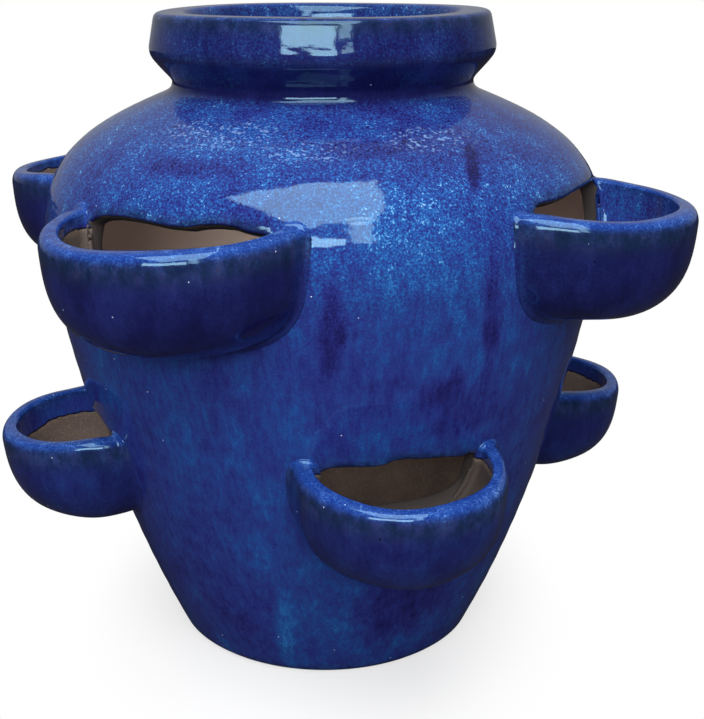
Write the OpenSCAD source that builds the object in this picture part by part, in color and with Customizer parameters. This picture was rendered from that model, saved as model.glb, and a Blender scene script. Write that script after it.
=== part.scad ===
// Strawberry jar planter: a glazed stoneware jar with eight open pockets luted to its wall.
// The jar stands on the ground at Z = 0 with its axis on Z, and its front faces -Y.
// Bearings are counted in degrees from the front, positive towards +X.

/* [Body] */
// Height of the jar from the ground to the top of the rim
jar_h = 450; // [430:5:560]
// Outer radius of the foot
foot_r = 109.5; // [90:0.5:132]
// Slope of the wall at the foot, in degrees out of upright
foot_flare = 25; // [18:1:30]
// How far the wall keeps its slope above the foot
foot_pull = 143; // [110:1:160]
// Outer radius at the belly, the widest part of the body
belly_r = 196; // [180:1:236]
// Height of the belly
belly_h = 305; // [290:1:315]
// How far the wall stays upright below and above the belly
belly_pull = 57; // [45:1:65]
// Slope of the shoulder at the neck, in degrees out of level
shoulder_fall = 22.5; // [16:0.5:28]
// How far the shoulder keeps its slope away from the neck
shoulder_pull = 50; // [40:1:60]
// Thickness of the body wall
wall_t = 12; // [9:0.5:15]

/* [Neck and collar] */
// Outer radius of the neck
neck_r = 104; // [86:0.5:125]
// Thickness of the neck, which sets the mouth
neck_t = 14; // [12:0.5:20]
// Height of the collar piece, from its seam on the body to the rim
collar_h = 52; // [46:1:64]
// Height of the upright neck below the collar
neck_rise = 4; // [2:0.5:8]
// How far the collar stands out from the neck where it is widest
collar_out = 15.5; // [10:0.5:20]
// Depth of that widest place below the rim
collar_drop = 26; // [20:1:32]
// Slope of the collar's underside where it is widest, in degrees out of upright
collar_flare = 31; // [15:1:45]
// How far the underside keeps that slope
collar_pull = 10; // [4:1:14]
// How far the rim stands out from the neck
rim_out = 11; // [6:0.5:14]
// Rounding of the rim's outer and inner edges
rim_round = 5; // [3:0.5:8]

/* [Floor] */
// Thickness of the floor
floor_t = 14; // [10:0.5:20]
// Height of the hollow under the floor
floor_lift = 7; // [4:0.5:12]
// Diameter of the drain hole
drain_d = 25; // [15:1:40]

/* [Upper pockets] */
// Outer radius of a pocket at its lip
upper_r = 84; // [70:1:101]
// Depth of a pocket, from the top of its lip to its underside
upper_depth = 76; // [66:1:92]
// Rounding of the underside
upper_round = 50; // [40:1:58]
// Thickness of the wall and lip
upper_t = 14; // [10:0.5:18]
// Tilt of the pocket away from the body, in degrees
upper_tilt = 4.5; // [0:0.5:8]
// Bearings of the pockets
upper_bearings = [-29, 62, 152, 243]; // [-45:1:360]
// Heights of the lips above the ground
upper_lips = [338, 336, 337, 336]; // [325:1:345]
// How far the lips stand out from the wall
upper_out = [73, 74, 72, 70]; // [64:1:84]

/* [Lower pockets] */
// Outer radius of a pocket at its lip
lower_r = 67; // [58:1:80]
// Depth of a pocket, from the top of its lip to its underside
lower_depth = 74; // [66:1:88]
// Rounding of the underside
lower_round = 52; // [40:1:56]
// Thickness of the wall and lip
lower_t = 13; // [10:0.5:16]
// Tilt of the pocket away from the body, in degrees
lower_tilt = 5; // [0:0.5:8]
// Bearings of the pockets
lower_bearings = [15, 109, 197, 286]; // [-45:1:360]
// Heights of the lips above the ground
lower_lips = [187, 170, 178, 176]; // [160:1:195]
// How far the lips stand out from the wall
lower_out = [69, 73, 67, 64]; // [58:1:78]

/* [Windows cut in the wall] */
// Clearance from the inside of a pocket to the edge of its window
window_inset = 5; // [4:0.5:10]
// Height of the window above the lip
window_rise = 4; // [0:0.5:8]
// Depth of the window below the lip
window_drop = 44; // [25:1:44]

/* [Hidden] */

$fn = 180;
curve_steps = 12;
past = 1; // how far a cut runs past a face
glaze = [0.09, 0.16, 0.52];
deep_glaze = [0.05, 0.09, 0.33];
bare_clay = [0.45, 0.38, 0.33];

neck_h = jar_h - collar_h;
mouth_r = neck_r - neck_t;

foot = [foot_r, 0];
foot_handle = foot + foot_pull*[sin(foot_flare), cos(foot_flare)];
belly = [belly_r, belly_h];
belly_under = belly - [0, belly_pull];
belly_over = belly + [0, belly_pull];
neck = [neck_r, neck_h];
neck_handle = neck + shoulder_pull*[cos(shoulder_fall), -sin(shoulder_fall)];

// A point of the curve that leaves a towards b and comes to d from c
function curve_point(a, b, c, d, t) =
  a*pow(1 - t, 3) + 3*b*t*pow(1 - t, 2) + 3*c*t*t*(1 - t) + d*pow(t, 3);

// The direction of that curve
function curve_way(a, b, c, d, t) =
  3*(b - a)*pow(1 - t, 2) + 6*(c - b)*t*(1 - t) + 3*(d - c)*t*t;

// The points of that curve, moved inwards by depth
function curve(a, b, c, d, depth = 0) = [
  for (i = [0:curve_steps])
    let (t = i/curve_steps, way = curve_way(a, b, c, d, t))
      curve_point(a, b, c, d, t) + depth*[-way.y, way.x]/norm(way)
];

// A round stretch about a centre, between two angles
function round_off(centre, r, from, to, steps = 6) = [
  for (i = [0:steps])
    let (a = from + (to - from)*i/steps)
      centre + r*[cos(a), sin(a)]
];

// The body's side from foot to neck, moved inwards by depth
function body_side(depth = 0) = concat(
  curve(foot, foot_handle, belly_under, belly, depth),
  [for (p = curve(belly, belly_over, neck_handle, neck, depth)) if (p.y > belly_h) p]
);

// Outer radius of the body at a height
function wall_r(h) = lookup(h, [for (p = body_side()) [p.y, p.x]]);

module body_solid() {
  rotate_extrude()
    polygon(concat([[0, 0]], body_side(), [[0, neck_h]]));
}

// The space inside the wall, open at the foot and at the neck
module body_cavity() {
  side = body_side(wall_t);
  first = side[0];
  last = side[len(side) - 1];
  bottom = [first.x - (first.y + past)*tan(foot_flare), -past];
  throat = [mouth_r, last.y + (last.x - mouth_r)*tan(shoulder_fall)];
  rotate_extrude()
    polygon(concat(
      [[0, -past], bottom],
      side,
      [throat, [mouth_r, neck_h + past], [0, neck_h + past]]
    ));
}

// Half of a bowl's section, with the bowl's edge at height 0
module bowl_section(r, depth, corner) {
  intersection() {
    translate([0, -depth])
      square([r, depth]);
    union() {
      translate([0, -depth])
        square([r - corner, depth]);
      translate([0, corner - depth])
        square([r, depth - corner]);
      translate([r - corner, corner - depth])
        circle(corner);
    }
  }
}

// A whole bowl with a round lip, the top of the lip at height 0
module bowl(r, depth, corner, t) {
  lip_r = t/2;
  rotate_extrude() {
    difference() {
      translate([0, -lip_r])
        bowl_section(r, depth - lip_r, corner);
      translate([0, -past])
        bowl_section(r - t, depth - t - past, corner - t);
      translate([0, -lip_r])
        square([r - t, lip_r + past]);
    }
    polygon(round_off([r - lip_r, -lip_r], lip_r, 0, 180, 12));
  }
}

// A bowl at its place on the wall, cut off where it meets the body. Both revolved shapes
// start on the side away from the pocket, so that no start line crosses the seam.
module pocket(bearing, lip_h, out, r, depth, corner, t, tilt) {
  color(deep_glaze)
    rotate([0, 0, bearing])
      difference() {
        translate([0, r - wall_r(lip_h) - out, lip_h])
          rotate([tilt, 0, 0])
            rotate([0, 0, 90])
              bowl(r, depth, corner, t);
        rotate([0, 0, 90])
          body_solid();
      }
}

// The opening in the wall that joins a pocket to the inside of the jar
module window(bearing, lip_h, out, r, t) {
  rotate([0, 0, bearing])
    translate([0, r - wall_r(lip_h) - out, lip_h - window_drop])
      rotate([0, 0, 90])
        cylinder(r = r - t - window_inset, h = window_drop + window_rise);
}

module upper_pocket(i) {
  pocket(
    upper_bearings[i], upper_lips[i], upper_out[i],
    upper_r, upper_depth, upper_round, upper_t, upper_tilt
  );
}

module lower_pocket(i) {
  pocket(
    lower_bearings[i], lower_lips[i], lower_out[i],
    lower_r, lower_depth, lower_round, lower_t, lower_tilt
  );
}

module body_wall() {
  color(glaze)
    difference() {
      rotate([0, 0, upper_bearings[1] - 90])
        difference() {
          body_solid();
          body_cavity();
        }
      for (i = [0:len(upper_lips) - 1])
        window(upper_bearings[i], upper_lips[i], upper_out[i], upper_r, upper_t);
      for (i = [0:len(lower_lips) - 1])
        window(lower_bearings[i], lower_lips[i], lower_out[i], lower_r, lower_t);
    }
}

module floor_disc() {
  color(bare_clay)
    difference() {
      intersection() {
        body_cavity();
        translate([0, 0, floor_lift])
          cylinder(r = belly_r, h = floor_t);
      }
      translate([0, 0, floor_lift - past])
        cylinder(d = drain_d, h = floor_t + 2*past);
    }
}

module neck_collar() {
  start = [neck_r, neck_h + neck_rise];
  widest = [neck_r + collar_out, jar_h - collar_drop];
  flare_handle = widest - collar_pull*[sin(collar_flare), cos(collar_flare)];
  side_lean = atan2(collar_out - rim_out, collar_drop - rim_round);
  color(glaze)
    rotate_extrude()
      polygon(concat(
        [[mouth_r, neck_h], [neck_r, neck_h]],
        curve(start, start + [0, neck_rise], flare_handle, widest),
        round_off([neck_r + rim_out - rim_round, jar_h - rim_round], rim_round, side_lean, 90),
        round_off([mouth_r + rim_round, jar_h - rim_round], rim_round, 90, 180)
      ));
}

body_wall();
floor_disc();
neck_collar();
upper_pocket(0);  // upper_pocket_front
upper_pocket(1);  // upper_pocket_right
upper_pocket(2);  // upper_pocket_back
upper_pocket(3);  // upper_pocket_left
lower_pocket(0);  // lower_pocket_front
lower_pocket(1);  // lower_pocket_right
lower_pocket(2);  // lower_pocket_back
lower_pocket(3);  // lower_pocket_left
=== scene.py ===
import bpy
import numpy as np
from math import asin, atan2, cos, degrees, radians, sin, tan
from mathutils import Matrix, Vector


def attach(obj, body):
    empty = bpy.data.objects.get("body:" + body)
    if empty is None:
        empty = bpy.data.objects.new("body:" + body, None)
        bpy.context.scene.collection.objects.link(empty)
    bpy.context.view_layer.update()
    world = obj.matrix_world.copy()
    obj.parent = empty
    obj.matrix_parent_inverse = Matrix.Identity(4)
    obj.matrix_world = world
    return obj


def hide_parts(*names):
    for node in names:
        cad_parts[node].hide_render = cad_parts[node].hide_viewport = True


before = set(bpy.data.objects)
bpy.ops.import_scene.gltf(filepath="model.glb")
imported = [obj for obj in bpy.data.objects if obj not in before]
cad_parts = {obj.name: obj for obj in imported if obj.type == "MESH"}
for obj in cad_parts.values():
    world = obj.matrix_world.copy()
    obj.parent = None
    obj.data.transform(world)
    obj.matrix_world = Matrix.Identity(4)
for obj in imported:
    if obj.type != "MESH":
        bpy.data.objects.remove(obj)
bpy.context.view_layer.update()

mm = 0.001
print("frame loaded:", len(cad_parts), "pieces of clay")

# where the photograph was taken from: metres, degrees, and millimetres of lens and sensor
camera = {
    "back": 0.887, "height": 0.492, "down": 18.361, "roll": -0.33,
    "focal": 62.67, "sensor": 36, "shift": 0.0384, "nearest": 0.01, "farthest": 50,
}

cam = bpy.data.objects.new("camera", bpy.data.cameras.new("camera"))
bpy.context.scene.collection.objects.link(cam)
cam.matrix_world = (
    Matrix.Translation((0, -camera["back"], camera["height"]))
    @ Matrix.Rotation(radians(90 - camera["down"]), 4, "X")
    @ Matrix.Rotation(radians(camera["roll"]), 4, "Z")
)
cam.data.lens = camera["focal"]
cam.data.sensor_width = camera["sensor"]
cam.data.shift_x = camera["shift"]
cam.data.clip_start, cam.data.clip_end = camera["nearest"], camera["farthest"]
bpy.context.scene.camera = cam
bpy.context.scene.view_settings.view_transform = "Standard"


# sRGB hex to the linear values that a socket takes: c / 12.92 where dark, else ((c + 0.055) / 1.055)^2.4
def linear(hexColour):
    c = np.array([int(hexColour[i:i + 2], 16) for i in (1, 3, 5)]) / 255
    c = np.where(c <= 0.04045, c / 12.92, ((c + 0.055) / 1.055) ** 2.4)
    return (*[float(v) for v in c], 1.0)


# one node, its kind without ShaderNode: settings are its attributes, inputs take a value or another node's
# output by name or number, and out picks the output it gives back
def addNode(tree, kind, settings=None, inputs=None, out=0):
    node = tree.nodes.new("ShaderNode" + kind)
    for name, value in (settings or {}).items():
        setattr(node, name, value)
    for name, value in (inputs or {}).items():
        if isinstance(value, bpy.types.NodeSocket):
            tree.links.new(value, node.inputs[name])
        else:
            node.inputs[name].default_value = value
    return node.outputs[out] if len(node.outputs) else node


# gives a colour ramp's node its stops, each (position, hex colour)
def setRamp(node, stops):
    ramp = node.color_ramp
    ramp.elements.remove(ramp.elements[-1])
    for k, (position, colour) in enumerate(stops):
        stop = ramp.elements[0] if k == 0 else ramp.elements.new(position)
        stop.position, stop.color = position, linear(colour)


# a tree emptied of the nodes that Blender puts in it
def emptyTree(owner):
    owner.use_nodes = True
    owner.node_tree.nodes.clear()
    return owner.node_tree


# settings that many nodes share
softStep = {"interpolation_type": "SMOOTHSTEP"}
colourMix = {"data_type": "RGBA"}
plus = {"operation": "ADD"}
times = {"operation": "MULTIPLY"}
timesPlus = {"operation": "MULTIPLY_ADD"}
lengthOf = {"operation": "LENGTH"}
whiteLight = (1, 1, 1, 1)

# The room and the paper, in metres. A glossy ray finds the room bright towards brightSide, behind the jar and
# overhead, and dark in front. The camera sees it white, and every other ray finds it evenly filled.
studio = {
    "fill": 0.51, "brightSide": (0, 0.8, 0.55),
    "gloss": {"From Min": 0.05, "From Max": 0.85, "To Min": 0.04, "To Max": 0.30},
    "floorSize": 9.0, "floorColour": "#808081", "floorInGlaze": "#38383a", "shadowColour": "#9c9c9d",
    "lift": 0.60, "whiteSpan": {"From Min": 0.085, "From Max": 0.20}, "whiteStretch": (1, 0.6, 1),
}

world = bpy.data.worlds.new("studio")
bpy.context.scene.world = world
tree = emptyTree(world)
way = addNode(tree, "TexCoord", out="Generated")
toBack = addNode(tree, "VectorMath", {"operation": "DOT_PRODUCT"}, {0: way, 1: studio["brightSide"]}, "Value")
backShare = addNode(tree, "MapRange", softStep, {"Value": toBack, **studio["gloss"]})
path = addNode(tree, "LightPath").node.outputs
fill = addNode(tree, "Background", {}, {"Color": whiteLight, "Strength": studio["fill"]})
seenInGloss = addNode(tree, "Background", {}, {"Color": whiteLight, "Strength": backShare})
seenByCamera = addNode(tree, "Background", {}, {"Color": whiteLight, "Strength": 1.0})
light = addNode(tree, "MixShader", {}, {0: path["Is Glossy Ray"], 1: fill, 2: seenInGloss})
light = addNode(tree, "MixShader", {}, {0: path["Is Camera Ray"], 1: light, 2: seenByCamera})
addNode(tree, "OutputWorld", {}, {"Surface": light})

# Soft sheets of light, in metres, degrees and watts: overhead for the shoulder's highlight, low in front for
# the collar's and the lips', and a strip for the right of the collar.
lamps = {
    "overheadSheet": {
        "at": (-0.05, -1.50, 2.35), "aim": (-0.05, -1.50, 0), "size": (1.75, 2.2), "turn": 14, "watts": 68,
    },
    "frontStrip": {"at": (0.67, -2.35, 1.75), "aim": (0, 0, 0.4), "size": (0.34, 1.1), "turn": 0, "watts": 7},
    "lowSlot": {
        "at": (-0.40, -2.6, 1.43), "aim": (0, -0.1, 0.4), "size": (1.75, 0.62), "turn": 0, "watts": 36,
    },
}
for name, lamp in lamps.items():
    source = bpy.data.lights.new(name, "AREA")
    source.shape = "RECTANGLE"
    source.size, source.size_y = lamp["size"]
    source.energy = lamp["watts"]
    holder = bpy.data.objects.new(name, source)
    bpy.context.scene.collection.objects.link(holder)
    away = Vector(lamp["at"]) - Vector(lamp["aim"])
    facing = away.to_track_quat("Z", "Y").to_matrix().to_4x4()
    turn = Matrix.Rotation(radians(lamp["turn"]), 4, "Z")
    holder.matrix_world = Matrix.Translation(lamp["at"]) @ facing @ turn

# Pale seamless paper: even matt white that keeps a soft contact shadow. Only the camera sees it lifted
# towards white, wholly so further off. It throws little light back, and the glaze mirrors it as a dark grey.
paper = bpy.data.materials.new("paleSeamlessPaper")
tree = emptyTree(paper)
path = addNode(tree, "LightPath").node.outputs
spot = addNode(tree, "TexCoord", out="Object")
spot = addNode(tree, "Mapping", {}, {"Vector": spot, "Scale": studio["whiteStretch"]})
farOff = addNode(tree, "VectorMath", lengthOf, {0: spot}, "Value")
farShare = addNode(tree, "MapRange", softStep, {"Value": farOff, **studio["whiteSpan"]})
matt = addNode(tree, "BsdfDiffuse", {}, {"Color": linear(studio["floorColour"])})
shaded = addNode(tree, "BsdfDiffuse", {}, {"Color": linear(studio["shadowColour"])})
lift = addNode(tree, "Emission", {}, {"Color": whiteLight, "Strength": studio["lift"]})
white = addNode(tree, "Emission", {}, {"Color": whiteLight, "Strength": 1.0})
close = addNode(tree, "AddShader", {}, {0: shaded, 1: lift})
seen = addNode(tree, "MixShader", {}, {0: farShare, 1: close, 2: white})
mirrored = addNode(tree, "BsdfDiffuse", {}, {"Color": linear(studio["floorInGlaze"])})
surface = addNode(tree, "MixShader", {}, {0: path["Is Glossy Ray"], 1: matt, 2: mirrored})
surface = addNode(tree, "MixShader", {}, {0: path["Is Camera Ray"], 1: surface, 2: seen})
addNode(tree, "OutputMaterial", {}, {"Surface": surface})
print("studio lit")


# faces of a grid of point numbers, each round from (row, column) by (row, column + 1) to (row + 1, column)
def facesOf(index):
    return np.stack([index[:-1, :-1], index[:-1, 1:], index[1:, 1:], index[1:, :-1]], axis=-1)


# the numbers round such a grid's edge, anticlockwise where rows go up and columns to the right
def edgeOf(index):
    return np.concatenate([index[0, :-1], index[:-1, -1], index[-1, :0:-1], index[:0:-1, 0]])


# faces of points numbered row by row, with the last row joined to the first, and the columns too if closed
def gridFaces(points, closed=True):
    index = np.arange(points[..., 0].size).reshape(points.shape[:2])
    index = np.vstack([index, index[:1]])
    if closed:
        index = np.hstack([index, index[:, :1]])
    return facesOf(index)


# a smooth mesh object from points in millimetres, quads, triangles and one value a point for each attribute
def makePiece(name, points, quads, triangles, attributes, material):
    mesh = bpy.data.meshes.new(name)
    quads = np.asarray(quads).reshape(-1, 4)
    triangles = np.asarray(triangles, dtype=int).reshape(-1, 3)
    mesh.vertices.add(len(points))
    mesh.vertices.foreach_set("co", (np.asarray(points, dtype=np.float64) * mm).ravel())
    corners = np.concatenate([quads.ravel(), triangles.ravel()])
    totals = np.concatenate([np.full(len(quads), 4), np.full(len(triangles), 3)])
    mesh.loops.add(len(corners))
    mesh.loops.foreach_set("vertex_index", corners.astype(np.int32))
    mesh.polygons.add(len(totals))
    mesh.polygons.foreach_set("loop_start", (np.cumsum(totals) - totals).astype(np.int32))
    mesh.polygons.foreach_set("loop_total", totals.astype(np.int32))
    mesh.polygons.foreach_set("use_smooth", np.ones(len(totals), dtype=bool))
    mesh.update(calc_edges=True)
    for key, values in attributes.items():
        field = mesh.attributes.new(key, "FLOAT", "POINT")
        field.data.foreach_set("value", np.asarray(values, dtype=np.float32).ravel())
    mesh.materials.append(material)
    piece = bpy.data.objects.new(name, mesh)
    bpy.context.scene.collection.objects.link(piece)
    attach(piece, "root")
    return piece


# a cubic curve: a(1-t)^3 + 3b t(1-t)^2 + 3c t^2(1-t) + d t^3
def cubic(a, b, c, d, steps):
    t = np.linspace(0, 1, steps)[:, None]
    a, b, c, d = (np.array(p, dtype=float) for p in (a, b, c, d))
    return a * (1 - t) ** 3 + 3 * b * t * (1 - t) ** 2 + 3 * c * t * t * (1 - t) + d * t ** 3


# an S-shaped step: 3t^2 - 2t^3 of a value held between 0 and 1
def smoothStep(t):
    t = np.clip(t, 0, 1)
    return t * t * (3 - 2 * t)


# a bell: e to the power -(x / width)^2
def bell(x, width):
    return np.exp(-(x / width) ** 2)


# a profile turned round the jar's axis: (r cos a, r sin a, z) for every radius and height and every angle
def turned(r, z, angles):
    return np.stack(np.broadcast_arrays(r * np.cos(angles), r * np.sin(angles), z), axis=-1)


# points of an arc about a centre, from one angle to another in degrees; radius may be a pair, wide and high
def arc(centre, radius, start, end, steps):
    a = np.radians(np.linspace(start, end, steps))
    return centre + radius * np.stack([np.cos(a), np.sin(a)], axis=-1)


# a closed profile's points set evenly along it
def even(points, spacing):
    points = np.vstack([points, points[:1]])
    step = np.concatenate([[0], np.cumsum(np.linalg.norm(np.diff(points, axis=0), axis=1))])
    at = np.linspace(0, step[-1], int(step[-1] / spacing) + 1)[:-1]
    return np.stack([np.interp(at, step, points[:, k]) for k in (0, 1)], axis=-1)


# a closed profile's running mean over 2n + 1 points
def runningMean(points, n):
    wrapped = np.vstack([points[-n:], points, points[:n]])
    weights = np.ones(2 * n + 1) / (2 * n + 1)
    return np.stack([np.convolve(wrapped[:, k], weights, "valid") for k in (0, 1)], axis=-1)


# The jar's side, which every piece meets, in mm and degrees. Pulls are how far the side keeps its slope.
jar = {
    "footR": 111, "footFlare": 25, "footPull": 147, "bellyR": 196, "bellyH": 305, "pullUnder": 24,
    "pullOver": 57, "shoulderFall": 22.5, "shoulderPull": 50, "neckR": 104, "neckH": 398, "mouthR": 90,
    "wall": 12,
    # columns and rows of the wall's grid, and the height of its first row
    "around": 320, "up": 120, "gridFrom": 3.0,
    # how far the hand-thrown wall wavers: each slow wave's share, waves round the jar, start and mm of rise
    "wobble": 0.55, "waves": [(0.5, 3, 0.7, 70), (0.35, 5, -1.9, -48), (0.3, 2, 1, 33)],
    "throwing": 0.10, "throwingPitch": 17, "stillAtFoot": 40, "stillAtNeck": 30,
    # how far up the glaze breaks thin at the foot, and painted light, paling the inside's clay over these
    # heights
    "footThin": (0.55, 1, 9), "paintedLightInside": (0.95, 170, 70),
}
flare, fall = radians(jar["footFlare"]), radians(jar["shoulderFall"])
foot, belly, neck = (jar["footR"], 0), (jar["bellyR"], jar["bellyH"]), (jar["neckR"], jar["neckH"])
overFoot = (foot[0] + jar["footPull"] * sin(flare), jar["footPull"] * cos(flare))
underBelly, overBelly = (belly[0], belly[1] - jar["pullUnder"]), (belly[0], belly[1] + jar["pullOver"])
offNeck = (neck[0] + jar["shoulderPull"] * cos(fall), neck[1] - jar["shoulderPull"] * sin(fall))
lowSide = cubic(foot, overFoot, underBelly, belly, 240)
highSide = cubic(belly, overBelly, offNeck, neck, 240)
side = np.vstack([lowSide, highSide[1:]])
sideSlope = np.gradient(side[:, 0]) / np.gradient(side[:, 1])


# the side's radius at a height
def wallRadius(height):
    return np.interp(height, side[:, 1], side[:, 0])


# share of the wall's outward normal that is level: 1 / sqrt(1 + slope^2)
def levelShare(height):
    return 1 / np.sqrt(1 + np.interp(height, side[:, 1], sideSlope) ** 2)


# how far the thrown wall stands off its side: slow sine waves round the jar and a faint spiral of rings
def wallWobble(angle, height):
    slow = sum(s * np.sin(n * angle + start + height / rise) for s, n, start, rise in jar["waves"])
    rings = np.sin(2 * np.pi * height / jar["throwingPitch"] + angle)
    fade = smoothStep(height / jar["stillAtFoot"]) * smoothStep((jar["neckH"] - height) / jar["stillAtNeck"])
    return (jar["wobble"] * slow + jar["throwing"] * rings) * fade


# a point of the wall at an angle and a height, moved in along the normal by depth
def onWall(angle, height, depth=0.0):
    slope = np.interp(height, side[:, 1], sideSlope)
    level = levelShare(height)
    radius = wallRadius(height) + wallWobble(angle, height) - depth * level
    return np.stack([radius * np.cos(angle), radius * np.sin(angle), height + depth * slope * level], axis=-1)


# Glazed stoneware, dipped and poured: a wet-looking cobalt gloss over clay. The eye sees royal blue brushed
# with fine upright streaks, a salt and pepper of pale cyan and purple grains that is strongest on the
# shoulder, purple runs, navy where the glaze lies thick and olive-brown where it breaks thin on an edge,
# and painted glints. The same shader leaves matt brown clay where the attribute bare, in centimetres past
# the glaze's edge, is above nought. One attribute is how thin the glaze broke and, on bare clay, painted
# light; another is how thick the glaze lies and, on bare clay, painted shade; and lip marks the lips.
glazeLook = {
    # Blob width in mm, detail, roughness, stretch up the wall, and place in the noise. Grains and sand are
    # 0.2 to 0.4 mm and streaks under 1 mm, too fine to show, so they are drawn 0.75 and 1.7 mm wide.
    "patterns": {
        "patch": (70, 3, 0.55, 0.55, 3.1), "mottle": (13, 4, 0.65, 0.45, 7.7),
        "streak": (1.7, 3, 0.6, 0.16, 1.7), "grain": (0.75, 2, 0.7, 1, 5.2), "shred": (5, 4, 0.65, 0.7, 2.3),
        "cloud": (26, 4, 0.6, 1.0, 9.0), "rings": (22, 2, 0.5, 3.0, 4.4), "fleck": (1.5, 3, 0.6, 1.8, 6.3),
    },
    "blobShare": 0.55,  # a blob's width over the noise's period
    "wall": [
        (0.16, "#14103f"), (0.36, "#22246a"), (0.50, "#26347c"), (0.62, "#20488e"), (0.78, "#2a6cae"),
        (0.95, "#98ccea"),
    ],
    "thick": [(0.22, "#0a0a28"), (0.46, "#131445"), (0.64, "#1e225c"), (0.86, "#304888")],
    "edge": [(0.30, "#162f7a"), (0.50, "#1e3e88"), (0.68, "#3259a6"), (0.90, "#7ea8de")],
    "breaking": [(0.30, "#0c1a34"), (0.50, "#1a2a44"), (0.72, "#48525a"), (0.85, "#6a6e60")],
    "clay": [(0.30, "#5a483f"), (0.52, "#6d5a4f"), (0.75, "#7f6b5f")],
    # the pale clay colour is painted light inside the jar near its mouth; the dark clay colour is painted
    # shade
    "paintedLightOnClay": "#f0d8c8", "paintedShadeOnClay": "#352b27", "sand": "#c4b09f",
    # ink colours the pinholes; the near-white dot colour is a painted glint
    "ink": "#090a24", "spark": "#d8eaff", "cutEdge": "#131018", "fleckColour": "#7fa4d6",
    "glossTint": "#b2e6fa", "ior": 1.56, "gloss": {"To Min": 0.06, "To Max": 0.10}, "clayRough": 0.85,
    # how much each pattern moves the tone along its ramp
    "weights": {
        "wall": {"patch": 0.38, "mottle": 0.48, "streak": 0.32, "grain": 0.34, "shred": 0.24},
        "thick": {"cloud": 0.5, "mottle": 0.5, "streak": 0.08, "grain": 0.25},
        "edge": {"mottle": 0.5, "grain": 1.1, "shred": 0.5},
    },
    # on the shoulder, over these heights in mm, the grains are stronger and the blue is paler
    "shoulder": (250, 370), "shoulderGrain": {1: 1.15, 2: -0.55},
    # painted glints and pinholes: spacing, radius, place. Real ones are 0.1 mm in radius and drawn larger to
    # show.
    "dots": {"spark": (15.0, 0.32, 0.0), "pin": (29.0, 0.6, 0.37)}, "dotEdge": (1.5, 0.8),
    # dark purple runs and pools and two pale washes by their place: centre, half sizes in mm, share
    "marks": {
        "shoulderRun": ((89, -141, 364), (6, 26, 20), -0.34),
        "bellyRunLeft": ((3, -192, 283), (9, 30, 42), -0.20),
        "bellyRunRight": ((101, -166, 285), (8, 30, 48), -0.22),
        "pool": ((82, -168, 222), (34, 40, 30), -0.20),
        "poolLeft": ((-75, -175, 272), (44, 50, 16), -0.24),
        "footPool": ((52, -125, 70), (40, 40, 60), -0.16),
        "footWash": ((-28, -128, 45), (9, 30, 50), 0.14),
        "bellyWash": ((20, -196, 330), (60, 40, 45), 0.04),
        "shoulderPoolLeft": ((-70, -144, 366), (44, 30, 7), -0.13),
        "shoulderPoolRight": ((32, -142, 377), (34, 25, 6), -0.13),
    },
    "markRagged": 1.2, "markEdge": {"From Min": 1.75, "From Max": 0.95},
    # curdled whitish flecks along the shoulder: centre and half sizes in mm
    "flecks": {
        "left": ((-72, -122, 383), (62, 34, 9)),
        "middle": ((-8, -150, 376), (30, 24, 6)),
        "right": ((66, -128, 380), (38, 28, 8)),
    },
    "fleckReach": {"From Min": 1.2, "From Max": 0.4, "To Max": 0.65},
    "fleckEdge": {"From Min": 0.54, "From Max": 0.64},
    # where the glaze ends, in centimetres: its ragged edge, the bare clay and the dark line before it
    "ragged": 0.9, "bareEdge": {"From Min": -0.02, "From Max": 0.04},
    "cutLine": {"From Min": -0.20, "From Max": -0.04},
    # how brokenly the thin glaze lies, by the shreds, and how much of the clay is sand, by the grains
    "broken": {"From Min": 0.62, "From Max": 0.40, "To Min": 0.35, "To Max": 1.1},
    "sandy": {"From Min": 0.52, "From Max": 0.75, "To Max": 0.3},
    # slow waves in the glaze, its faint orange peel, and the sand in the clay
    "waves": {"Strength": 0.9, "Distance": 0.6 * mm}, "peel": {"Strength": 0.12, "Distance": 0.6 * mm},
    "sandBump": {"Strength": 0.35, "Distance": 0.8 * mm},
}


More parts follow.
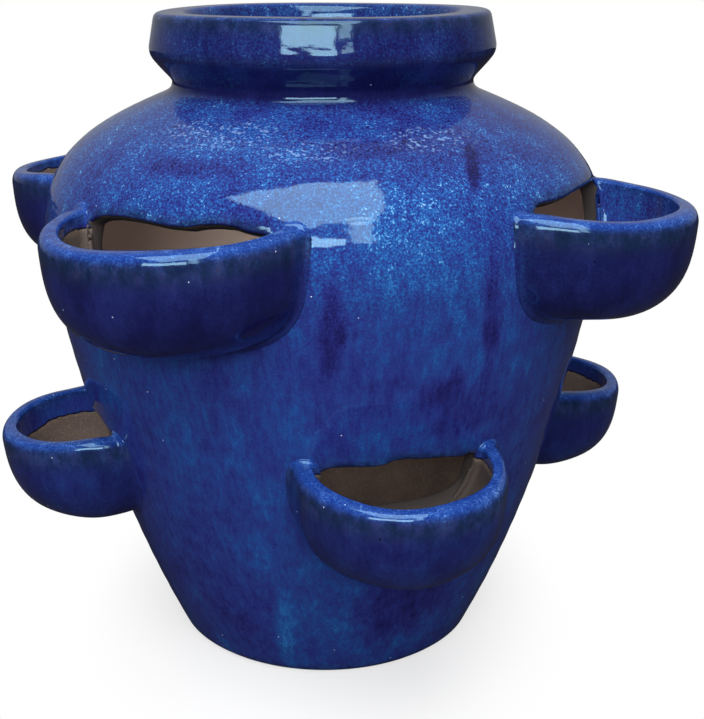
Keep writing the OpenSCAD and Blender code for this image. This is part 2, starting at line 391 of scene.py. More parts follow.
# the shader: weighted patterns give each ramp its tone, and the attributes lay the ramps over one another
def cobaltGlaze():
    look = glazeLook
    material = bpy.data.materials.new("cobaltGlazeOnStoneware")
    tree = emptyTree(material)
    where = addNode(tree, "TexCoord", out="Object")
    bare, thinGlazeAndLitClay, thickGlazeAndClayShade, lip = (
        addNode(tree, "Attribute", {"attribute_name": name}, out="Fac")
        for name in ("bare", "thinGlazeAndLitClay", "thickGlazeAndClayShade", "lip")
    )
    pattern = {}
    for name, (size, detail, rough, stretch, place) in look["patterns"].items():
        moved = addNode(tree, "Mapping", {}, {
            "Vector": where, "Location": (place, place * 0.7, -place), "Scale": (1, 1, stretch),
        })
        pattern[name] = addNode(tree, "TexNoise", {}, {
            "Vector": moved, "Scale": look["blobShare"] / (size * mm), "Detail": detail, "Roughness": rough,
        })

    # the tone along each ramp: a half, plus each pattern's stand from its middle times its weight
    tone = {"breaking": pattern["shred"], "clay": pattern["cloud"]}
    for part, shares in look["weights"].items():
        tone[part] = 0.5
        for name, weight in shares.items():
            step = addNode(tree, "Math", timesPlus, {0: pattern[name], 1: weight, 2: -0.5 * weight})
            tone[part] = addNode(tree, "Math", plus, {0: step, 1: tone[part]})
    height = addNode(tree, "SeparateXYZ", {}, {0: where}, "Z")
    low, high = look["shoulder"]
    span = {"From Min": low * mm, "From Max": high * mm}
    shoulder = addNode(tree, "MapRange", softStep, {"Value": height, **span})
    grain = addNode(tree, "Math", timesPlus, {0: pattern["grain"], **look["shoulderGrain"]})
    grain = addNode(tree, "Math", times, {0: grain, 1: shoulder})
    tone["wall"] = addNode(tree, "Math", plus, {0: tone["wall"], 1: grain})

    # marks and fields of flecks fade out with the distance from their centres, as a share of their sizes
    distance = {}
    for name, mark in {**look["marks"], **look["flecks"]}.items():
        local = addNode(tree, "Mapping", {"vector_type": "TEXTURE"}, {
            "Vector": where, "Location": [c * mm for c in mark[0]], "Scale": [s * mm for s in mark[1]],
        })
        distance[name] = addNode(tree, "VectorMath", lengthOf, {0: local}, "Value")
    for name, (centre, sizes, share) in look["marks"].items():
        far = {0: pattern["mottle"], 1: look["markRagged"], 2: distance[name]}
        far = addNode(tree, "Math", timesPlus, far)
        step = addNode(tree, "MapRange", softStep, {"Value": far, **look["markEdge"], "To Max": share})
        tone["wall"] = addNode(tree, "Math", plus, {0: tone["wall"], 1: step})
    fleckShare = 0.0
    for name in look["flecks"]:
        most = addNode(tree, "MapRange", softStep, {"Value": distance[name], **look["fleckReach"]})
        step = {"Value": pattern["fleck"], **look["fleckEdge"], "To Max": most}
        step = addNode(tree, "MapRange", softStep, step)
        fleckShare = addNode(tree, "Math", {"operation": "MAXIMUM"}, {0: step, 1: fleckShare})
    paint = {}
    for part in ("wall", "thick", "edge", "breaking", "clay"):
        paint[part] = addNode(tree, "ValToRGB", {}, {0: tone[part]})
        setRamp(paint[part].node, look[part])

    # painted glints and pinholes: the points of two cell patterns, every so far apart
    dots = {}
    outer, inner = look["dotEdge"]
    for name, (every, radius, place) in look["dots"].items():
        moved = addNode(tree, "Mapping", {}, {"Vector": where, "Location": (place, place, place)})
        nearest = addNode(tree, "TexVoronoi", {}, {"Vector": moved, "Scale": 1 / (every * mm)}, "Distance")
        span = {"From Min": outer * radius / every, "From Max": inner * radius / every}
        dots[name] = addNode(tree, "MapRange", softStep, {"Value": nearest, **span})

    # sandy clay, with painted light where it pales and painted shade where it darkens
    sandy = addNode(tree, "MapRange", softStep, {"Value": pattern["grain"], **look["sandy"]})
    clay = paint["clay"]
    for share, over in ((sandy, "sand"), (thinGlazeAndLitClay, "paintedLightOnClay"), (thickGlazeAndClayShade, "paintedShadeOnClay")):
        clay = addNode(tree, "Mix", colourMix, {0: share, 6: clay, 7: linear(look[over])}, 2)

    # the glaze's ragged end, with a dark line along it, and its broken places where it is thin
    wide = look["ragged"]
    ragged = addNode(tree, "Math", timesPlus, {0: pattern["mottle"], 1: wide, 2: -0.5 * wide})
    ragged = addNode(tree, "Math", plus, {0: bare, 1: ragged})
    bareShare = addNode(tree, "MapRange", softStep, {"Value": ragged, **look["bareEdge"]})
    cutShare = addNode(tree, "MapRange", softStep, {"Value": ragged, **look["cutLine"]})
    broken = addNode(tree, "MapRange", softStep, {"Value": pattern["shred"], **look["broken"]})
    thinShare = addNode(tree, "Math", {**times, "use_clamp": True}, {0: thinGlazeAndLitClay, 1: broken})

    # laid over one another: flecks, thick glaze, lips, thin edges, pinholes, painted glints, the glaze's end
    # and the clay
    colour = paint["wall"]
    for share, over in (
        (fleckShare, linear(look["fleckColour"])), (thickGlazeAndClayShade, paint["thick"]), (lip, paint["edge"]),
        (thinShare, paint["breaking"]), (dots["pin"], linear(look["ink"])),
        (dots["spark"], linear(look["spark"])), (cutShare, linear(look["cutEdge"])), (bareShare, clay),
    ):
        colour = addNode(tree, "Mix", colourMix, {0: share, 6: colour, 7: over}, 2)
    gloss = addNode(tree, "MapRange", {}, {"Value": thinGlazeAndLitClay, **look["gloss"]})
    rough = addNode(tree, "MapRange", {}, {"Value": bareShare, "To Min": gloss, "To Max": look["clayRough"]})

    sand = addNode(tree, "Math", times, {0: pattern["grain"], 1: bareShare})
    bump = addNode(tree, "Bump", {}, {**look["waves"], "Height": pattern["rings"]})
    bump = addNode(tree, "Bump", {}, {**look["peel"], "Height": pattern["shred"], "Normal": bump})
    bump = addNode(tree, "Bump", {}, {**look["sandBump"], "Height": sand, "Normal": bump})
    shader = addNode(tree, "BsdfPrincipled", {}, {
        "Base Color": colour, "Roughness": rough, "IOR": look["ior"],
        "Specular Tint": linear(look["glossTint"]), "Normal": bump,
    })
    addNode(tree, "OutputMaterial", {}, {"Surface": shader})
    return material


glaze = cobaltGlaze()
print("glaze mixed")

# The pockets' places in mm and degrees, which the windows share: bearings from the front to the right, square
# the power of the bowl's section, spread how far the right end is drawn along the wall, glazedInside how far
# glaze runs in below the lip, then the painted shade on the clay inside, thickness how thick the glaze lies
# outside.
quarters = ("front", "right", "back", "left")
upperRow = {
    "ring": "upper", "radius": 84, "depth": 76, "square": 3.3, "wall": 14, "thickness": 0.97,
    "bearings": [-29, 62, 152, 243], "lips": [339.5, 339, 337, 337], "out": [73, 74, 72, 70],
    "tilts": [3.5, 4, 4.5, 4.5], "leans": [-1, 1, 0, 0], "spread": [0, 0, 0, 0],
    "glazedInside": [7, 40, 20, 5], "paintedShadeInside": [0.5, 0.2, 0.3, 0],
}
lowerRow = {
    "ring": "lower", "radius": 67, "depth": 74, "square": 2.65, "wall": 13, "thickness": 0.75,
    "bearings": [15, 109, 197, 286], "lips": [188, 171, 178, 177.5], "out": [71, 75, 69, 66],
    "tilts": [4, 6, 5, 5], "leans": [1, 0, 0, -1.2], "spread": [9, 0, 0, 0],
    "glazedInside": [5, 9, 12, 17], "paintedShadeInside": [0.8, 0.3, 0.3, 0.2],
}

# The hand-cut windows, in mm: inset from the pocket's inside, drop below the lip, powers of the upper and
# lower corners, reach over which the wall's grid makes way, and edge, how far the cut bulges.
windows = {
    "inset": 2, "drop": 44, "cornerTop": 9.0, "cornerLow": 4.0, "reach": 26, "edge": 2.6, "rings": 7,
    "radiusAt": 15, "spreadShare": 0.4,
    # inside a pocket the wall is bare from this far under the lip to this far over the floor, in painted
    # shade
    "glazedOver": 12, "overFloor": 3, "beside": 3, "paintedShadeBeside": 0.7,
    # the glaze runs this many centimetres round the cut's outer edge; the cut is darkened by painted shade
    "glazedCut": 0.15, "paintedShadeOnCut": 0.9, "thinCut": (0.75, 3.0),
    # height of the cut's top edge over the lip, from the left end to the right end
    "cuts": {
        "upper_pocket_front": [
            (-1, -5), (-0.83, -2.6), (-0.66, -1.1), (-0.49, -0.5), (-0.30, -0.6), (-0.15, -1.2), (0, -1.8),
            (0.22, -1.5), (0.33, 0.4), (0.47, 1.5), (0.65, 1.3), (0.73, -0.4), (0.8, -1.3), (1, -1),
        ],
        "upper_pocket_right": [
            (-1, 3.5), (-0.85, 4.5), (-0.6, 3.6), (-0.35, 4), (-0.14, 5), (0.12, 5.2), (0.5, 4), (1, 1),
        ],
        "lower_pocket_front": [
            (-1, -6), (-0.87, -3), (-0.8, -2), (-0.57, -2), (-0.34, -2.8), (-0.22, -2.3), (-0.11, 0.4),
            (0.05, 0.8), (0.26, -1), (0.52, -2.5), (0.74, -5), (0.84, -3.3), (0.95, -3.9), (1, -5.5),
        ],
        "lower_pocket_left": [
            (-1, 0), (-0.6, 4), (-0.2, 8), (0.39, 8), (0.65, 8.5), (0.75, 5.6), (0.85, 3), (1, -2),
        ],
        "other": [(-1, 0), (-0.6, 4), (-0.3, 5), (0.1, 1), (0.5, 3.5), (0.8, 0), (1, -2)],
    },
}


# angle round the jar of a bearing
def bearingAngle(bearing):
    return radians(bearing - 90)


# The wall's grid of angle and height, with a block of cells for each window. Points near a block move with
# its nearest edge point, which goes to a superellipse |a|^n + |b|^n = 1 with a wavy top, and the move fades
# over reach. Also gives the distance from the cuts and what lies inside a pocket.
def warpedGrid():
    w, columns, rows, ground = windows, jar["around"], jar["up"], jar["gridFrom"]
    angle = np.tile(np.arange(columns) * 2 * np.pi / columns, (rows, 1))
    height = np.tile(np.linspace(ground, jar["neckH"], rows)[:, None], (1, columns))
    cellWide, cellHigh = 2 * np.pi / columns, (jar["neckH"] - ground) / (rows - 1)
    newAngle, newHeight = angle.copy(), height.copy()
    cutDistance = np.full(angle.shape, np.inf)
    inPocket = np.zeros(angle.shape, dtype=bool)
    blocks = []
    for row in (upperRow, lowerRow):
        for quarter, bearing, lip, spread in zip(quarters, row["bearings"], row["lips"], row["spread"]):
            radius = wallRadius(lip - w["radiusAt"])
            halfWide = radius * asin((row["radius"] - row["wall"] - w["inset"]) / radius)
            halfWide += w["spreadShare"] * spread
            centre = bearingAngle(bearing) + w["spreadShare"] * spread / radius
            halfHigh = w["drop"] / 2
            middle = lip - halfHigh
            left = round((centre - halfWide / radius) / cellWide)
            right = round((centre + halfWide / radius) / cellWide)
            low = round((lip - w["drop"] - ground) / cellHigh)
            high = round((lip - ground) / cellHigh)
            blocks.append((left, right, low, high))
            # places in the block, from its middle in mm, then as shares of its half sizes
            blockX, blockZ = (left + right) / 2 * cellWide, ground + (low + high) / 2 * cellHigh
            blockWide, blockHigh = (right - left) / 2 * cellWide * radius, (high - low) / 2 * cellHigh
            x = ((angle - blockX + np.pi) % (2 * np.pi) - np.pi) * radius
            z = height - blockZ
            nearX, nearZ = np.clip(x, -blockWide, blockWide), np.clip(z, -blockHigh, blockHigh)
            a, b = nearX / blockWide, nearZ / blockHigh
            power = np.where(b > 0, w["cornerTop"], w["cornerLow"])
            shrink = (np.abs(a) ** power + np.abs(b) ** power + 1e-9) ** (-1 / power)
            cut = w["cuts"].get(row["ring"] + "_pocket_" + quarter, w["cuts"]["other"])
            cut = np.array(cut, dtype=float)
            wave = np.interp(a * shrink, cut[:, 0], cut[:, 1]) * np.clip(b * shrink, 0, 1)
            toX = (centre - blockX) * radius + a * shrink * halfWide
            toZ = middle - blockZ + b * shrink * halfHigh + wave
            away = np.maximum(np.maximum(np.abs(x) - blockWide, np.abs(z) - blockHigh), 0)
            move = smoothStep(1 - away / w["reach"])
            newAngle += (toX - nearX) * move / radius
            newHeight += (toZ - nearZ) * move
            cutDistance = np.minimum(cutDistance, away)
            bareFrom, bareTo = lip - row["depth"] + row["wall"] + w["overFloor"], lip - w["glazedOver"]
            inPocket |= (np.abs(x) < blockWide + w["beside"]) & (newHeight > bareFrom) & (newHeight < bareTo)
    return newAngle, newHeight, cutDistance, inPocket, blocks


# The cut round one window: rings of points from the outer loop to the inner one, (1 - cos t) / 2 of the way
# through and bulging into the opening by edge times sin(t)^0.6, as a wet edge is rubbed round.
def cutRings(outer, inner):
    along = np.roll(outer, -1, axis=0) - np.roll(outer, 1, axis=0)
    through = inner - outer
    inward = np.cross(through, along)
    inward /= np.linalg.norm(inward, axis=1, keepdims=True)
    inward *= np.sign(np.sum(inward * (outer.mean(axis=0) - outer), axis=1).mean())
    t = np.linspace(0, np.pi, windows["rings"] + 1)[1:-1, None, None]
    return outer + through * ((1 - np.cos(t)) / 2) + inward * (windows["edge"] * np.sin(t) ** 0.6)


# The wall is one closed grid, under the foot, up the outside, over the neck and down the inside, with the
# windows' blocks left out and their cuts put in.
def jarWall():
    columns, rows, w = jar["around"], jar["up"], windows
    footR, neckR, neckH, mouthR = jar["footR"], jar["neckR"], jar["neckH"], jar["mouthR"]
    angle, height, cutDistance, inPocket, blocks = warpedGrid()
    outer, inner = onWall(angle, height), onWall(angle, height, jar["wall"])

    # the rounded foot, the neck's top and throat, and the inside's last ring, each (radius, height)
    turn = np.arange(columns) * 2 * np.pi / columns
    inR = wallRadius(0) - jar["wall"] + 1
    under = [(inR + 1.5, 0.6), (inR + 3.5, 0), (footR - 4.5, 0), (footR - 1.8, 0.35), (footR - 0.2, 1.6)]
    over = [(neckR - 3, neckH), (mouthR + 2, neckH), (mouthR, neckH - 2), (mouthR + 0.5, neckH - 6.5)]
    last = [(inR + 0.2, 4)]
    under, over, last = (turned(*np.array(part).T[:, :, None], turn) for part in (under, over, last))
    inRows = np.arange(rows - 4)[::-1]  # the throat takes the place of the inside's top four rows
    points = np.vstack([under, outer, over, inner[inRows], last])
    outerFirst, innerFirst = len(under), len(under) + rows + len(over)
    innerIndex = np.full(rows, -1)
    innerIndex[inRows] = innerFirst + np.arange(len(inRows))

    faces = gridFaces(points)
    present = np.ones(faces.shape[:2], dtype=bool)
    wallPoints = points.reshape(-1, 3)
    cutPoints, cutFaces, cutBare = [], [], []
    count = len(wallPoints)
    for left, right, low, high in blocks:
        across, up = np.arange(left, right + 1) % columns, np.arange(low, high + 1)[:, None]
        present[outerFirst + low:outerFirst + high][:, across[:-1]] = False
        present[innerIndex[high]:innerIndex[low]][:, across[:-1]] = False
        outerLoop = edgeOf((outerFirst + up) * columns + across)
        innerLoop = edgeOf(innerIndex[up] * columns + across)
        start = wallPoints[outerLoop]
        rings = cutRings(start, wallPoints[innerLoop])
        ringIndex = count + np.arange(rings[..., 0].size).reshape(rings.shape[:2])
        loops = np.vstack([outerLoop[None], ringIndex, innerLoop[None]])
        loops = np.hstack([loops, loops[:, :1]])
        cutFaces.append(facesOf(loops).reshape(-1, 4))
        cutPoints.append(rings.reshape(-1, 3))
        ringBare = np.linspace(-w["glazedCut"], 1.0, len(rings))[:, None]
        cutBare.append(np.where(rings[..., 2] < start[:, 2].max() - w["glazedOver"], 1.0, ringBare).ravel())
        count += ringIndex.size
    quads = np.vstack([faces[present]] + cutFaces)
    allPoints = np.vstack([wallPoints] + cutPoints)

    # bare under the foot, on the inside, inside the pockets and on the cuts
    outside = slice(outerFirst, outerFirst + rows)
    bare = np.full(points.shape[:2], -1.0)
    bare[:3] = 1.0
    bare[innerFirst:] = 1.0
    bare[outside][inPocket] = 1.0
    thinGlazeAndLitClay, thickGlazeAndClayShade = np.zeros(points.shape[:2]), np.zeros(points.shape[:2])
    footShare, footFrom, footOver = jar["footThin"]
    cutShare, cutOver = w["thinCut"]
    thinGlazeAndLitClay[outside] = footShare * smoothStep(1 - (height - footFrom) / footOver)
    thinGlazeAndLitClay[outside] += cutShare * bell(cutDistance, cutOver)
    thinGlazeAndLitClay[outside][inPocket] = 0.0
    # painted light: the bare clay inside is paler higher up, towards the mouth
    litShare, litFrom, litOver = jar["paintedLightInside"]
    thinGlazeAndLitClay[innerFirst:] = litShare * smoothStep((points[innerFirst:, :, 2] - litFrom) / litOver)
    # painted shade on the wall's bare clay inside the pockets
    thickGlazeAndClayShade[outside][inPocket] = w["paintedShadeBeside"]
    # the window cuts carry painted shade and no painted light
    onCuts = np.zeros(len(allPoints) - bare.size)
    attributes = {
        "bare": np.concatenate([bare.ravel()] + cutBare),
        "thinGlazeAndLitClay": np.concatenate([thinGlazeAndLitClay.ravel(), onCuts]),
        "thickGlazeAndClayShade": np.concatenate([thickGlazeAndClayShade.ravel(), onCuts + w["paintedShadeOnCut"]]),
        "lip": np.zeros(len(allPoints)),
    }
    piece = makePiece("jarWall", allPoints, quads, [], attributes, glaze)
    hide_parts("body_wall")


jarWall()
print("jar wall turned and cut")

# The collar, in mm and degrees: how far its widest place stands out from the neck and lies below the rim, the
# slope and pull under it, the rim's and throat's roundings, soft and creaseRound in steps of the profile.
collar = {
    "out": 15.5, "drop": 26, "flare": 31, "pull": 10, "rimOut": 11, "rimRound": 4, "throatRound": (6, 15),
    "height": 450, "soft": 4, "creaseRound": 13, "creaseReach": 9.0, "creaseFade": 1.6, "step": 0.4,
    "spacing": 1.15, "filletOut": 8, "filletUp": 6, "around": 320, "wobble": 0.35, "sway": 0.35,
}


# A closed profile turned about the axis: out of the shoulder in a fillet, up the neck, out to the crease, in
# to the rim, over it and down the throat. Above the seam it wavers by slow sine waves.
def neckCollar():
    c, neckR, neckH, mouthR = collar, jar["neckR"], jar["neckH"], jar["mouthR"]
    seatR = neckR + c["filletOut"]
    seatZ = float(np.interp(-seatR, -highSide[:, 0], highSide[:, 1]))
    start = np.array([neckR, neckH + c["filletUp"]])
    widest = np.array([neckR + c["out"], c["height"] - c["drop"]])
    fillet = cubic(
        (seatR, seatZ + 0.05), (seatR - 5, seatZ + 5 * tan(fall) + 0.1), (neckR, neckH + 1), start, 14,
    )
    lean = radians(c["flare"])
    underWidest = widest - c["pull"] * np.array([sin(lean), cos(lean)])
    flareSide = cubic(start, start + [0, 3], underWidest, widest, 40)
    rimLean = degrees(atan2(c["out"] - c["rimOut"], c["drop"] - c["rimRound"]))
    rimCentre = (neckR + c["rimOut"] - c["rimRound"], c["height"] - c["rimRound"])
    rimArc = arc(rimCentre, c["rimRound"], rimLean, 90, 12)
    wide, high = c["throatRound"]
    throatArc = arc((mouthR + wide, c["height"] - high), (wide, high), 90, 180, 16)
    seat = [(mouthR, neckH - 1.0), (mouthR + 3, neckH - 3.0), (seatR - 1, seatZ - 3.0)]
    outline = np.vstack([fillet[:-1], flareSide[:-1], [widest], rimArc, throatArc, seat])
    # evenly set and softened by a running mean, which is wider at the crease
    dense = even(outline, c["step"])
    soft, softer = runningMean(dense, c["soft"]), runningMean(dense, c["creaseRound"])
    fromCrease = np.abs(dense - widest).max(axis=1, keepdims=True)
    soft = soft + smoothStep(c["creaseFade"] - fromCrease / c["creaseReach"]) * (softer - soft)
    profile = even(soft, c["spacing"])
    turn = np.arange(c["around"]) * 2 * np.pi / c["around"]
    r, z = profile[:, :1], profile[:, 1:]
    free = smoothStep((z - neckH - 2) / 12)
    r = r + free * c["wobble"] * (0.6 * np.sin(2 * turn + 0.4) + 0.4 * np.sin(5 * turn + z / 20))
    z = z + free * c["sway"] * (np.sin(3 * turn + 1.2) - 1)
    points = turned(r, z, turn)

    # the glaze lies thickest under the crease, and breaks thin near the rim and along the crease
    outside = np.hypot(points[..., 0], points[..., 1]) > mouthR + 9
    level = points[..., 2]
    below = c["height"] - level
    thinOut = 0.7 * bell(below - 4, 6) + 0.25 * bell(below - c["drop"], 3.0)
    deepOut = (0.75 + 0.25 * smoothStep((below - c["drop"]) / 4)) * smoothStep(below / 3)
    attributes = {
        "bare": np.where(outside, -1.0, (below - 60) / 10.0),
        "thinGlazeAndLitClay": np.where(outside, thinOut, 0.3 * bell(below - 4, 4)),
        "thickGlazeAndClayShade": np.where(outside, deepOut * smoothStep((level - neckH + 4) / 8), 0.4),
        "lip": 0.6 * smoothStep((2.5 - below) / 2),
    }
    piece = makePiece("jarCollar", points.reshape(-1, 3), gridFaces(points), [], attributes, glaze)
    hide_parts("neck_collar")


neckCollar()
print("collar turned")

# the floor, in mm: its height off the ground, the drain's radius, and the throwing rings' depth and pitch
floorDisc = {
    "lift": 7, "thick": 14, "drain": 12.5, "drainRound": 2, "ring": 0.35, "ringPitch": 11, "around": 240,
    "seatShare": 0.93,
}


# A closed profile turned about the axis: in over the throwing rings, ring (cos(2 pi r / pitch) - 1) / 2 high,
# down the rounded drain and back out underneath.
def jarFloor():
    c = floorDisc
    bottom, top = c["lift"], c["lift"] + c["thick"]
    drainR, rounding = c["drain"] + c["drainRound"], c["drainRound"]
    topR, bottomR = (wallRadius(z) - jar["wall"] * c["seatShare"] for z in (top, bottom))
    topLine = np.stack([np.linspace(topR, drainR, 90), np.full(90, top)], axis=-1)
    topLine[:, 1] += c["ring"] * (np.cos(2 * np.pi * topLine[:, 0] / c["ringPitch"]) - 1) / 2
    outline = np.vstack([
        [(drainR, bottom), (bottomR, bottom), (bottomR + 1, bottom + 3), (topR + 0.5, top - 1)],
        topLine,
        arc((drainR, top - rounding), rounding, 90, 180, 7),
        arc((drainR, bottom + rounding), rounding, 180, 270, 7)[:-1],
    ])
    turn = np.arange(c["around"]) * 2 * np.pi / c["around"]
    points = turned(outline[:, :1], outline[:, 1:], turn)
    full = np.ones(points.shape[:2])
    attributes = {"bare": full, "thinGlazeAndLitClay": full * 0, "thickGlazeAndClayShade": full * 0, "lip": full * 0}
    piece = makePiece("jarFloor", points.reshape(-1, 3), gridFaces(points), [], attributes, glaze)
    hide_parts("floor_disc")


jarFloor()
print("floor laid")

# What every pocket shares, in mm: the lip's roundings as (wide, high), rows and columns of the grid, the
# fillets and the ring sunk in the wall, and how the hand-made bowl and its ends waver.
pocket = {
    "outerRound": (7.0, 10.5), "innerRound": (3.0, 3.0), "roundRows": 9, "flatRows": 5, "innerSquare": 0.9,
    "across": 150, "outerRows": 56, "innerRows": 44, "cornerAt": 17, "bunching": 0.55,
    "endBetween": (60, 175), "outerFillet": 3.5, "lipFillet": 4.0, "innerFillet": 5.0, "sink": 3.0,
    "wobble": 0.7, "sway": 0.5, "endDrop": 2.5, "endReach": 12, "spreadReach": 25, "wallReach": 14,
    "stillAt": 25,
}


# half a superellipse, |x/a|^n + |y/b|^n = 1, by arc length from its pole at the bottom
def bowlSection(a, b, n, drop):
    t = np.linspace(0, 1, 4000) ** 1.5
    t = np.concatenate([t[:-1] * np.pi / 4, np.pi / 2 - t[::-1] * np.pi / 4])
    x, y = a * np.sin(t) ** (2 / n), -drop - b * np.cos(t) ** (2 / n)
    length = np.concatenate([[0], np.cumsum(np.hypot(np.diff(x), np.diff(y)))])
    return length, x, y


# halves an interval 44 times towards the place where value(x) changes sign; value is above nought at high
def solve(value, low, high):
    for step in range(44):
        middle = (low + high) / 2
        above = value(middle) > 0
        low, high = np.where(above, low, middle), np.where(above, middle, high)
    return (low + high) / 2


# Two functions of a point of the bowl, at radius r, angle t from the outermost point and height h from the
# lip: its place once the bowl is tilted, leant and set at its bearing, and its gap to the wall, which is the
# level gap times level share.
def pocketPlace(row, k):
    tilt, lean, lip = radians(row["tilts"][k]), radians(row["leans"][k]), row["lips"][k]
    centre = wallRadius(lip) + row["out"][k] - row["radius"]
    angle = bearingAngle(row["bearings"][k])
    east, north = cos(angle), sin(angle)

    def place(r, t, h):
        x, y = r * np.sin(t), r * np.cos(t)
        far = centre + y * cos(tilt) + h * sin(tilt)
        rise = h * cos(tilt) - y * sin(tilt)
        aside = x * cos(lean) + rise * sin(lean)
        up = lip + rise * cos(lean) - x * sin(lean)
        return np.stack([far * east - aside * north, far * north + aside * east, up], axis=-1)

    def gap(r, t, h):
        at = place(r, t, h)
        return (np.hypot(at[..., 0], at[..., 1]) - wallRadius(at[..., 2])) * levelShare(at[..., 2])

    return place, gap


# the angles at which a bowl's circles of radius r at height h meet the wall
def endAngle(gap, r, h):
    low, high = (np.full(np.shape(r), radians(limit)) for limit in pocket["endBetween"])
    return solve(lambda t: -gap(r, t, h), low, high)


# One side of the bowl, as straight ribs from the seam with the wall to the section's edge, on a flat plan
# where the distance from the middle is the arc length from the pole. Gives each point's radius, angle and
# height, the rib's direction as steps of radius and height, and the distance from the edge.
def sidePatch(section, gap, spread, rows):
    length, sectionR, sectionH = section
    edge = length[-1]
    end = float(endAngle(gap, sectionR[-1], sectionH[-1]))

    def planGap(x, y):
        run = np.hypot(x, y)
        return gap(np.interp(run, length, sectionR), np.arctan2(x, y), np.interp(run, length, sectionH))

    seamX = edge * sin(end) * np.sin(np.linspace(-1, 1, 1601) * np.pi / 2)
    reach = np.sqrt(np.maximum(edge ** 2 - seamX ** 2, 0))
    seamY = solve(lambda y: planGap(seamX, y), -reach, reach)
    seamY[0] = seamY[-1] = edge * cos(end)
    along = np.concatenate([[0], np.cumsum(np.hypot(np.diff(seamX), np.diff(seamY)))])
    at = along[-1] / 2 + spread * (along[-1] / 2 - pocket["cornerAt"])
    seam = np.stack([np.interp(at, along, seamX), np.interp(at, along, seamY)], axis=-1)
    rim = edge * np.stack([np.sin(spread * end), np.cos(spread * end)], axis=-1)
    v = (np.linspace(0, 1, rows) ** 1.5)[:, None, None]
    plan = seam * (1 - v) + rim * v
    run, t = np.hypot(plan[..., 0], plan[..., 1]), np.arctan2(plan[..., 0], plan[..., 1])
    step = 0.4
    stepR = np.interp(run + step, length, sectionR) - np.interp(run - step, length, sectionR)
    stepH = np.interp(run + step, length, sectionH) - np.interp(run - step, length, sectionH)
    return np.interp(run, length, sectionR), t, np.interp(run, length, sectionH), stepR, stepH, edge - run


# The lip's rows: a quarter round up from the outer side, a flat top and a quarter round down to the inner
# side. Gives their radii and heights and how far each is on top.
def lipRows(row):
    (outerWide, outerHigh), (innerWide, innerHigh) = pocket["outerRound"], pocket["innerRound"]
    outerR, innerR = row["radius"], row["radius"] - row["wall"]
    u = np.linspace(0, np.pi / 2, pocket["roundRows"] + 1)
    level = np.linspace(outerR - outerWide, innerR + innerWide, pocket["flatRows"] + 2)[1:-1]
    up, down = outerR - outerWide * (1 - np.cos(u[1:])), innerR + innerWide * (1 - np.sin(u[:-1]))
    r = np.concatenate([up, level, down])
    h = np.concatenate([outerHigh * (np.sin(u[1:]) - 1), 0 * level, innerHigh * (np.cos(u[:-1]) - 1)])
    onTop = np.concatenate([smoothStep(u[1:] / 0.7 - 0.35), 1 + 0 * level, 1 + 0 * u[:-1]])
    return r, h, onTop


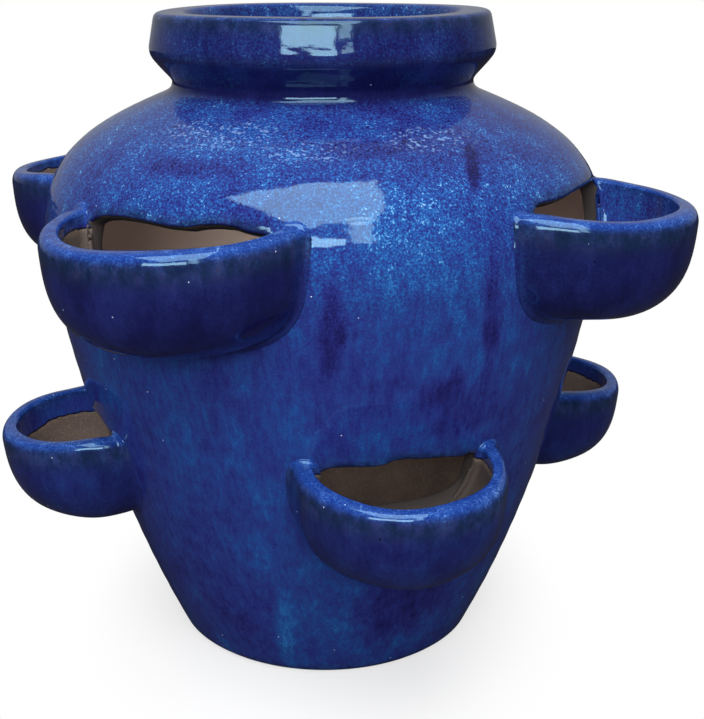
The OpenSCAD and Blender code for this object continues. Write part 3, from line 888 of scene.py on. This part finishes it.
# A pocket is a grid whose columns are ribs that run from the outer seam with the wall up over the lip and
# down to the inner seam. Near the wall it swells out in a fillet, by f - sqrt(f^2 - (f - d)^2) at distance d.
def makePocket(row, k):
    p, quarter = pocket, quarters[k]
    place, gap = pocketPlace(row, k)
    outerHigh, innerHigh = p["outerRound"][1], p["innerRound"][1]
    radius, thick, depth = row["radius"], row["wall"], row["depth"]
    outerSection = bowlSection(radius, depth - outerHigh, row["square"], outerHigh)
    innerPower = row["square"] * p["innerSquare"]
    innerSection = bowlSection(radius - thick, depth - thick - innerHigh, innerPower, innerHigh)
    s = np.linspace(-1, 1, p["across"])
    # ribs lie closer together at the ends
    spread = (1 - p["bunching"]) * s + p["bunching"] * np.sin(s * np.pi / 2)
    rOut, tOut, hOut, stepROut, stepHOut, belowOut = sidePatch(outerSection, gap, spread, p["outerRows"])
    innerSide = sidePatch(innerSection, gap, spread, p["innerRows"])
    rIn, tIn, hIn, stepRIn, stepHIn, belowIn = (m[::-1] for m in innerSide)
    lipR, lipH, onTop = lipRows(row)
    tLip = endAngle(gap, lipR, lipH)[:, None] * spread[None]

    # one array over the outer side, the lip and the inner side
    def joined(outside, lip, inside):
        return np.vstack([outside + 0 * tOut, lip + 0 * tLip, inside + 0 * tIn])

    r, t, h = joined(rOut, lipR[:, None], rIn), joined(tOut, tLip, tIn), joined(hOut, lipH[:, None], hIn)
    stepR = joined(stepROut, np.gradient(lipR)[:, None], -stepRIn)
    stepH = joined(stepHOut, np.gradient(lipH)[:, None], -stepHIn)
    size = np.hypot(stepR, stepH) + 1e-9
    normalR, normalH = stepH / size, -stepR / size

    # the fillet, the hand's lumps and sway, and the ends' drop
    lipFirst, lipLast = p["outerRows"], p["outerRows"] + len(lipR)
    filletAt = [0, lipFirst - 8, lipFirst + 4, lipLast - 4, lipLast + 8, len(r)]
    fillets = np.repeat([p["outerFillet"], p["lipFillet"], p["innerFillet"]], 2)
    fillet = np.interp(np.arange(len(r))[:, None], filletAt, fillets) + 0 * t
    distance = np.maximum(gap(r, t, h), 0)
    short = np.maximum(fillet - distance, 0)
    swell = fillet - np.sqrt(np.maximum(fillet ** 2 - short ** 2, 0))
    lump = 0.5 * np.sin(3 * t + k) + 0.5 * np.sin(5 * t + h / 15 + 2 * k) - 1
    stand = swell + p["wobble"] * lump * smoothStep(distance / p["stillAt"])
    nearLip = np.clip(1 + h / 40, 0, 1)
    h = h + p["sway"] * (np.sin(2.3 * t + 1.3 * k) - 1) * smoothStep(distance / 30) * nearLip
    h = h - p["endDrop"] * np.exp(-distance / p["endReach"]) * nearLip
    points = place(r + normalR * stand, t, h + normalH * stand)

    # the right end is drawn along the wall, and close to the wall the pocket follows its waves
    angle, reach = np.arctan2(points[..., 1], points[..., 0]), np.hypot(points[..., 0], points[..., 1])
    angle = angle + row["spread"][k] / reach * np.exp(-distance / p["spreadReach"]) * smoothStep(np.sin(t))
    level = np.stack([np.cos(angle), np.sin(angle), 0 * angle], axis=-1)
    height = points[..., 2]
    reach = reach + wallWobble(angle, height) * np.exp(-distance / p["wallReach"])
    # the border lies on the wall, and one more ring is sunk in it
    border = np.pad(0 * t[2:, 2:], 1, constant_values=1) > 0
    reach = np.where(border, wallRadius(height) + wallWobble(angle, height) - 0.05, reach)
    points = reach[..., None] * level + height[..., None] * [0, 0, 1]
    points, level = (np.pad(m, ((1, 1), (1, 1), (0, 0)), mode="edge") for m in (points, level))
    points = points - np.pad(0 * t, 1, constant_values=p["sink"])[..., None] * level
    quads = gridFaces(points, False)
    index = np.arange(points[..., 0].size).reshape(points.shape[:2])
    first, last, count = index[:, 0], index[:, -1], index.size
    # the open ends are closed by fans inside the wall
    ends = np.stack([points[:, 0].mean(axis=0), points[:, -1].mean(axis=0)])
    capLeft = np.stack([0 * first + count, first, np.roll(first, -1)], axis=-1)
    capRight = np.stack([0 * last + count + 1, np.roll(last, -1), last], axis=-1)

    # by the distance below the lip the glaze is thin, then thick, and further inside it ends on bare clay
    top, pastGlaze = onTop[:, None], belowIn - row["glazedInside"][k]
    thickGlazeAndClayShade = joined(0.8 + 0.2 * smoothStep(belowOut / 6), 0.8 * (1 - top), 0)
    thickGlazeAndClayShade = thickGlazeAndClayShade * (1 - 0.35 * np.exp(-distance / 4))
    fields = {
        "bare": joined(-1, -1, pastGlaze / 10),
        "thinGlazeAndLitClay": joined(0.75 * bell(belowOut, 8), 0.05 + 0.7 * (1 - top), 0.35 * bell(belowIn, 4)),
        # painted shade darkens the bare clay deep inside the pocket
        "thickGlazeAndClayShade": row["thickness"] * thickGlazeAndClayShade + joined(0, 0, row["paintedShadeInside"][k] * smoothStep(pastGlaze / 6)),
        "lip": joined(0, top, 0.6 * smoothStep(1 - belowIn / 8)),
    }
    attributes = {key: np.append(np.pad(field, 1, mode="edge"), [0, 0]) for key, field in fields.items()}
    allPoints, caps = np.vstack([points.reshape(-1, 3), ends]), np.vstack([capLeft, capRight])
    name = row["ring"] + "Pocket" + quarter.capitalize()
    piece = makePiece(name, allPoints, quads, caps, attributes, glaze)
    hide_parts(row["ring"] + "_pocket_" + quarter)


for row in (upperRow, lowerRow):
    for k in range(len(quarters)):
        makePocket(row, k)
print("pockets modelled")

half = studio["floorSize"] / 2
floor = bpy.data.meshes.new("paperFloor")
corners = [(-half, -half, 0), (half, -half, 0), (half, half, 0), (-half, half, 0)]
floor.from_pydata(corners, [], [(0, 1, 2, 3)])
floor.materials.append(paper)
floorObject = bpy.data.objects.new("paperFloor", floor)
bpy.context.scene.collection.objects.link(floorObject)
